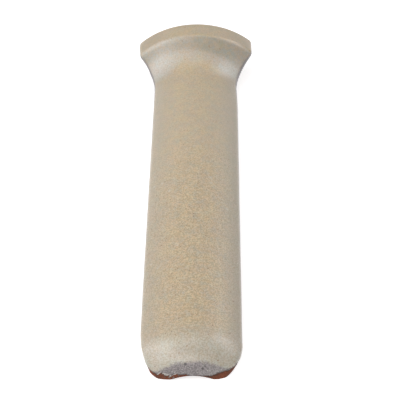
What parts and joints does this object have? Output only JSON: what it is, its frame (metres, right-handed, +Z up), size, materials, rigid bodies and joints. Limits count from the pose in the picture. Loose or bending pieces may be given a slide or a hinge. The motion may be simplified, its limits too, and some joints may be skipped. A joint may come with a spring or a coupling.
{
  "type": "outside corner cove base trim tile",
  "caption": "Glazed clay trim tile that wraps an outside wall corner at the floor, with a rounded top, a straight quarter-round shank and a cove foot.",
  "frame": {"origin": "middle of the tile's bounding box in plan, on the level surface that its back rests on", "axes": "+Y along the tile from its rounded top to the face that stands on the floor, +Z up out of the middle of its glazed face, +X to its right joint face"},
  "size_m": [0.0402, 0.1524, 0.0191],
  "materials": {
    "glazed_clay": "satin"
  },
  "bodies": {
    "root": {"corner_trim_tile": "glazed_clay"}
  },
  "joints": []
}
